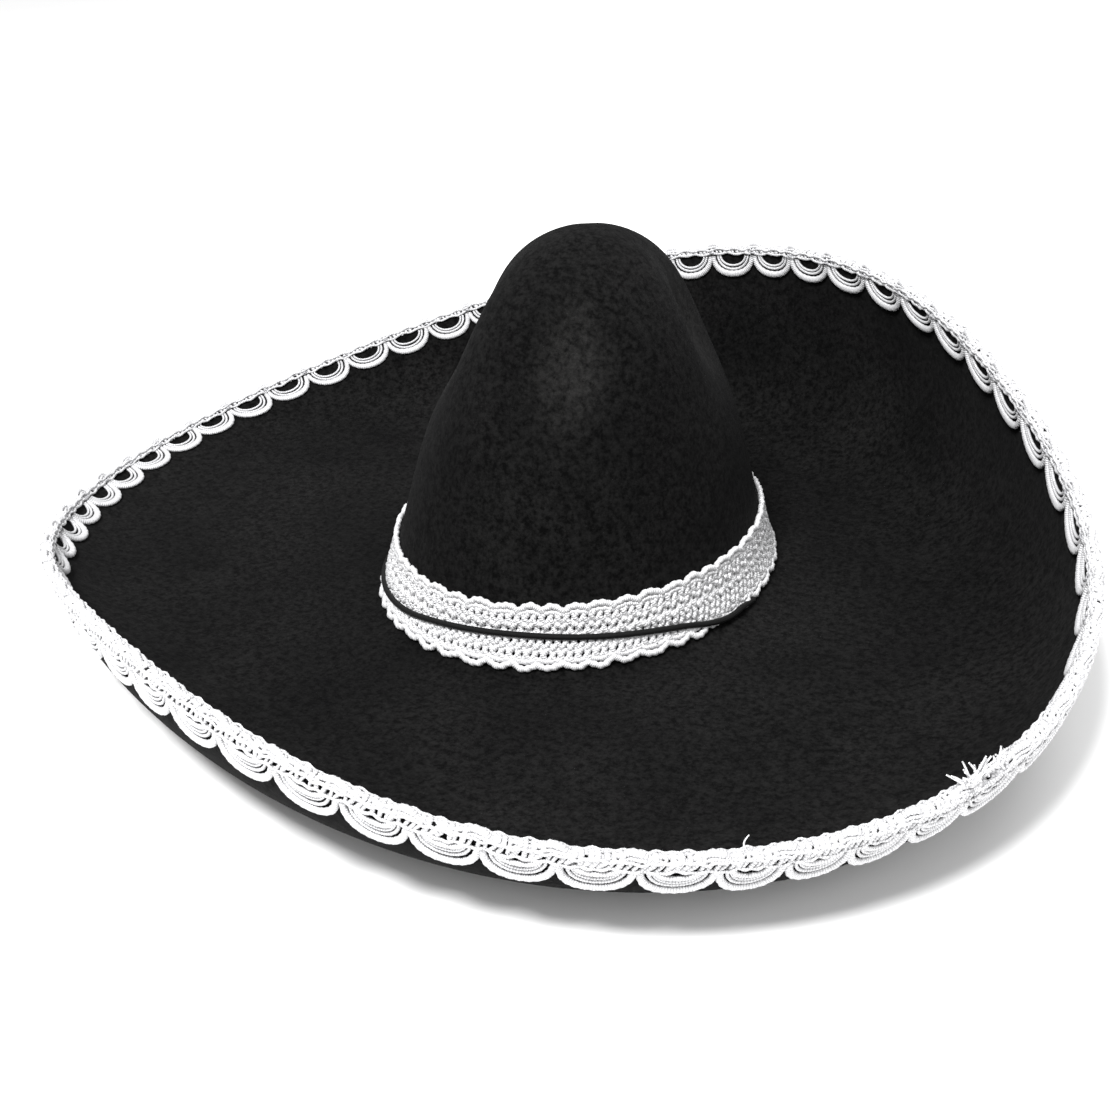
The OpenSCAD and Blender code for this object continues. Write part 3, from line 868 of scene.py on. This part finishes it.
def make_fray():
    """Cut ends of the braid, frayed where they meet, and one loose thread further round."""
    strands = Strands()
    middle = np.interp(SPLICE_TURN, TABLE_ANGLES, TABLE_LENGTHS)
    t = np.linspace(0, 1, 8)[:, None]
    for k in range(FRAYED_YARNS):
        tuft = k < TUFT_YARNS
        start = middle + (rng.uniform(0.0, 6.0) if tuft else rng.uniform(-14.0, 0.0))
        a = angle_along(start)
        fan = rng.uniform(-1.3, 1.3)
        length = rng.uniform(4.5, 9.0) if tuft else rng.uniform(3.0, 6.0)
        base = face_point(a, rng.uniform(-0.5, 2.0), -FELT_T / 2 + rng.uniform(-1.5, 1.8))
        up, side = edge_way(a, angle_along(start + 1))
        out = unit(np.cross(side, up))
        curve = rng.uniform(-0.5, 0.5)
        spread = (fan * t + curve * t * t) * side * 0.7
        path = base + length * (t * up + spread + rng.uniform(-0.4, 0.5) * t * t * out)
        strands.add(path, out + 0.01, YARN_R * (1 - TIP_THINNING * t[:, 0]), sides=5)
    a = np.array(LOOSE_THREAD_TURN)
    base = face_point(a, 1.0, -0.5)
    up, side = edge_way(a, a + 0.3)
    t = np.linspace(0, 1, 10)[:, None]
    path = base + LOOSE_THREAD_LENGTH * t * up + 1.5 * np.sin(3 * t) * side
    strands.add(path, np.cross(side, up), LOOSE_THREAD_R * (1 - TIP_THINNING * t[:, 0]), sides=5)
    settle(strands.build("edge_braid_frayed_ends"), YARN, "braid_yarn", "edge_braid_splice_tails")


make_fray()


STITCH_HALF = 2.0
STITCH_INWARD = 3.3
THREAD_R = 0.26


def make_edge_thread():
    """Sewing thread that holds the header down, one stitch at each meeting of two scallops."""
    strands = Strands()
    for k in range(SCALLOPS):
        x = np.linspace(-STITCH_HALF, STITCH_HALF, 7)
        a = scallop_angle(k + 0.5 + x / PITCH)
        height = 2.35 - 1.2 * np.abs(x / STITCH_HALF) ** 3
        d = STITCH_INWARD + 0 * x
        strands.add(face_point(a, d, height), face_normal(a, d), THREAD_R, sides=6)
    settle(strands.build("edge_braid_thread"), THREAD, "thread", "edge_braid_stitches")


make_edge_thread()

# ------------------------------------------------------------------ crown band and chin cord


CORD_PRESS = 1.15
CORD_DENT_HALF = 2.6
PLAIT_FACE = 0.85
FOOT_FLARE_REACH = 7.0
TOP_FLARE_REACH = 6.0
BAND_STEP = 0.33
ZIGZAG_HALF = 3.2
PLAIT_ROWS = 4
PLAIT_MARGIN = 3.5
RIB_PITCH = 7.6
LOOP_PITCH = 11.6
ROUTE = smooth_path(CORD_ROUTE, 16)
ROUTE_Z = BAND_LOW + CORD_R + ROUTE[:, 1] * BAND_H


def cord_dent(a, z):
    """How far the chin cord presses the band in, from 0 to 1."""
    level = np.interp(a % 360, ROUTE[:, 0], ROUTE_Z, left=-99, right=-99)
    return np.exp(-(((z - level) / CORD_DENT_HALF) ** 2))


def band_stand(z):
    """How far the band stands off the crown at height z: proud at its top and flared at its foot."""
    low = np.clip(1 - (z - BAND_LOW) / FOOT_FLARE_REACH, 0, 1.3)
    high = np.clip(1 - (BAND_TOP - z) / TOP_FLARE_REACH, 0, 1.3)
    return BAND_GAP + 0.7 + 1.1 * low**2 + 0.4 * high**2


def band_cord(strands, a, z, out, half_out, half_side, sides=8, **more):
    """A cord of the band, closed round the crown, pressed in where the chin cord crosses it."""
    height = band_stand(z) + out - CORD_PRESS * cord_dent(a, z)
    path = crown_at(a, z, height)
    ref = unit(crown_at(a, z, height + 1) - path)
    strands.add(path, ref, half_out, half_side, sides=sides, closed=True, **more)


def make_band():
    """Crown band: zigzag cords plaited side by side, with rows of larger loops along both edges."""
    strands = Strands()
    turns = np.arange(0, 360, BAND_STEP)
    a_table = np.linspace(0, 360, 721)
    ring = crown_at(a_table, (BAND_LOW + BAND_TOP) / 2, 1.5)
    lengths = np.concatenate([[0], np.cumsum(np.linalg.norm(np.diff(ring, axis=0), axis=1))])
    total = lengths[-1]
    s = np.interp(turns, a_table, lengths)
    loops = round(total / LOOP_PITCH)
    ribs = round(total / RIB_PITCH)
    wave = 2 * np.pi * ribs * s / total
    slow = 2 * np.pi * s / total
    inner = BAND_H - 2 * PLAIT_MARGIN
    for k in range(PLAIT_ROWS):
        middle = BAND_LOW + PLAIT_MARGIN + inner * (k + 0.5) / PLAIT_ROWS
        for flip in (0, np.pi):
            zig = np.arcsin(0.985 * np.sin(wave + flip + k * np.pi / 2)) / (np.pi / 2)
            z = (
                middle + ZIGZAG_HALF * zig
                + 0.4 * np.sin(slow * 9 + k) + 0.2 * np.sin(slow * 41 + 2 * k + flip)
            )
            over = 0.55 * np.cos(wave * 2 + flip * 0.5 + k)
            band_cord(strands, turns, z, over, 1.15, 1.2, sides=8, lobe=0.14, lobes=2, lay=5.0)
    settle(strands.build("crown_band_plait"), BAND, "crown_band", "crown_band")
    for name, node, level, sign in (
        ("crown_band_upper_loops", "crown_band_upper_cord", BAND_TOP, 1),
        ("crown_band_lower_loops", "crown_band_lower_cord", BAND_LOW, -1),
    ):
        edge = Strands()
        turn = np.pi * loops * s / total + 0.4 * np.sin(slow * 7)
        scallop = np.abs(np.sin(turn)) ** 0.8 + 0.12 * np.sin(slow * 23) + 0.1 * np.sin(slow * 67 + sign)
        z = level + sign * (-3.1 + 2.4 * scallop)
        band_cord(edge, turns, z, 0.25, 1.35, 1.55, sides=10, lobe=0.16, lobes=2, lay=6.5)
        z = level + sign * (-4.6 + 1.2 * scallop)
        band_cord(edge, turns, z, 0.3, 1.1, 1.2, sides=8, lobe=0.14, lobes=2, lay=5.0)
        settle(edge.build(name), BAND, "crown_band", node)


make_band()


LAP_TURN = 8.0
LAP_HALF = 11.0
LAP_CORDS = 13
LAP_STAND = 1.9
LAP_WAVE = 6.2
LAP_MARGIN = 1.5


def make_lap():
    """End of the band lapped over its beginning at the back, turned under and sewn down."""
    strands = Strands()
    last = LAP_CORDS - 1
    z = np.linspace(BAND_LOW + LAP_MARGIN, BAND_TOP - LAP_MARGIN, 40)
    for k in range(LAP_CORDS):
        x = (k / last * 2 - 1) * LAP_HALF
        wave = np.sin((z - BAND_LOW) * 2 * np.pi / LAP_WAVE + (k % 2) * np.pi)
        zig = 1.2 * np.arcsin(0.98 * wave) / (np.pi / 2)
        a = LAP_TURN + np.degrees((x + zig) / CROWN_HALF_LENGTH)
        height = band_stand(z) + LAP_STAND - 0.5 * (k in (0, last))
        path = crown_at(a, z, height)
        strands.add(path, unit(crown_at(a, z, height + 1) - path), 0.85, 0.95, sides=6)
    settle(strands.build("crown_band_lap_end"), BAND, "crown_band", "crown_band_lap")


make_lap()


KNOT_OUT = SWEAT_IN - CLEAR - KNOT_R
KNOT_LOOP = 2.2
KNOT_CORD_R = 1.25


def through_hole(turn):
    """Points of the chin cord from its knot inside the crown out through the hole."""
    return [crown_at(turn, BAND_LOW, out) for out in (KNOT_OUT, -1.0, 2.6)]


def cord_line():
    """Middle line of the chin cord, from the inside of the left hole over the band to the right one."""
    lift = band_stand(ROUTE_Z) - CORD_PRESS + PLAIT_FACE + CORD_R
    line = crown_at(ROUTE[:, 0], ROUTE_Z, lift)
    points = through_hole(LEFT_HOLE) + list(line[4:-4:4]) + through_hole(RIGHT_HOLE)[::-1]
    return smooth_path(points, 6)


def make_chin_cord():
    """Chin cord, and an overhand knot with a short tail at each end."""
    strands = Strands()
    strands.add(cord_line(), (0, 0, 1), CORD_R, sides=14)
    settle(strands.build("chin_cord_sleeve"), ELASTIC, "elastic", "chin_cord")
    for name, node, turn in (
        ("chin_cord_left_overhand", "chin_cord_knot_left", LEFT_HOLE),
        ("chin_cord_right_overhand", "chin_cord_knot_right", RIGHT_HOLE),
    ):
        centre = crown_at(turn, BAND_LOW, KNOT_OUT)
        inward = unit(crown_at(turn, BAND_LOW, -1.0) - crown_at(turn, BAND_LOW, 0.0))
        up = np.array([0.0, 0.0, 1.0])
        side = np.cross(inward, up)
        t = np.linspace(0, 2 * np.pi, 60, endpoint=False)
        x = (np.sin(t) + 2 * np.sin(2 * t)) / 3 * KNOT_LOOP
        y = (np.cos(t) - 2 * np.cos(2 * t)) / 3 * KNOT_LOOP
        z = -np.sin(3 * t) * KNOT_LOOP / 2
        path = centre + x[:, None] * side + y[:, None] * up + z[:, None] * inward
        knot = Strands()
        knot.add(path, inward, KNOT_CORD_R, sides=10, closed=True)
        s = np.linspace(0, 1, 10)[:, None]
        tail = centre + inward * (1.5 + 6 * s) - up * (5 * s * s) + side * (2 * s)
        knot.add(tail, side, CORD_R * 0.95, sides=10)
        settle(knot.build(name), ELASTIC, "elastic", node)


make_chin_cord()

# ------------------------------------------------------------------ sweatband


RIBBON_COLUMNS = 240
RIBBON_ROWS = 12
RIBBON_EDGE = 0.4
RIBBON_WAVES = 7
RIBBON_WAVE = 0.25
RIBBON_FLAT_BELOW = 12
SWEAT_STITCHES = 48
SWEAT_STITCH_HALF = 1.2
SWEAT_STITCH_HEIGHT = 2.0
SWEAT_THREAD_R = 0.32


def ribbon_section():
    """Outline of the ribbon's section, as height and distance from the crown's outer face."""
    middle = (SWEAT_IN + SWEAT_OUT) / 2
    shares = [i / RIBBON_ROWS for i in range(RIBBON_ROWS + 1)]
    flat = SWEATBAND_H - 2 * RIBBON_EDGE
    up = [(SWEAT_LOW + RIBBON_EDGE + flat * share, SWEAT_IN) for share in shares]
    down = [(SWEAT_LOW + SWEATBAND_H - RIBBON_EDGE - flat * share, SWEAT_OUT) for share in shares]
    return up + [(SWEAT_LOW + SWEATBAND_H, middle)] + down + [(SWEAT_LOW, middle)]


def make_sweatband():
    """Grosgrain ribbon inside the crown, a closed strip with rounded edges, and its stitches."""
    a = np.arange(RIBBON_COLUMNS) * 360 / RIBBON_COLUMNS
    wave = RIBBON_WAVE * sind(RIBBON_WAVES * a)
    rings = np.array([
        crown_at(a, z, out + wave * (out == SWEAT_IN) * (z > RIBBON_FLAT_BELOW))
        for z, out in ribbon_section()
    ])
    n, m = rings.shape[:2]
    i, j = np.meshgrid(np.arange(n), np.arange(m), indexing="ij")
    i2, j2 = (i + 1) % n, (j + 1) % m
    quads = np.stack([i * m + j, i2 * m + j, i2 * m + j2, i * m + j2], -1).reshape(-1, 4)
    middle = rings[RIBBON_ROWS // 2]
    girth = np.linalg.norm(middle - np.roll(middle, 1, axis=0), axis=1).sum()
    u = np.stack([j, j, j + 1, j + 1], -1) * girth / m
    v = np.stack([i, i + 1, i + 1, i], -1) / n
    uvs = np.stack([u, v], -1).reshape(-1, 2)
    thing = make_object("sweatband_ribbon", rings.reshape(-1, 3), quads, uvs)
    settle(thing, RIBBON, "sweatband", "sweatband")
    strands = Strands()
    x = np.linspace(-SWEAT_STITCH_HALF, SWEAT_STITCH_HALF, 7)
    out = SWEAT_IN - CLEAR - 0.35 + 0.5 * np.abs(x / SWEAT_STITCH_HALF) ** 3
    for k in range(SWEAT_STITCHES):
        turn = (k + 0.5) * 360 / SWEAT_STITCHES
        path = crown_at(turn + x, SWEAT_LOW + SWEAT_STITCH_HEIGHT, out)
        strands.add(path, (0, 0, 1), SWEAT_THREAD_R, sides=6)
    settle(strands.build("sweatband_thread"), BLACK_THREAD, "black_thread", "sweatband_stitches")


make_sweatband()

# ------------------------------------------------------------------ floor and light


FLOOR_HALF = 4.0
FLOOR_DROP = 0.0005
LIGHTS_AIM = (0, 0, 0.05)
WORLD_STRENGTH = 0.7


def make_floor():
    """Plain floor just below the hat."""
    mesh = bpy.data.meshes.new("floor")
    w = FLOOR_HALF
    mesh.from_pydata([(-w, -w, 0), (w, -w, 0), (w, w, 0), (-w, w, 0)], [], [(0, 1, 2, 3)])
    floor = bpy.data.objects.new("floor", mesh)
    bpy.context.scene.collection.objects.link(floor)
    floor.location.z = -FLOOR_DROP
    floor.data.materials.append(floor_material())


def area_light(name, place, size, power):
    """Round soft light aimed at the hat."""
    data = bpy.data.lights.new(name, "AREA")
    data.shape = "DISK"
    data.size = size
    data.energy = power
    lamp = bpy.data.objects.new(name, data)
    bpy.context.scene.collection.objects.link(lamp)
    lamp.location = place
    lamp.rotation_euler = (Vector(LIGHTS_AIM) - Vector(place)).to_track_quat("-Z", "Y").to_euler()


make_floor()
area_light("key", (0.05, -1.2, 2.0), size=0.7, power=92)
area_light("fill", (1.7, -0.9, 1.3), size=1.4, power=12)
area_light("back", (0.4, 1.7, 1.8), size=1.4, power=18)
world = bpy.data.worlds.new("studio")
world.use_nodes = True
world.node_tree.nodes["Background"].inputs["Color"].default_value = (1, 1, 1, 1)
world.node_tree.nodes["Background"].inputs["Strength"].default_value = WORLD_STRENGTH
bpy.context.scene.world = world
bpy.context.scene.view_settings.view_transform = "Standard"
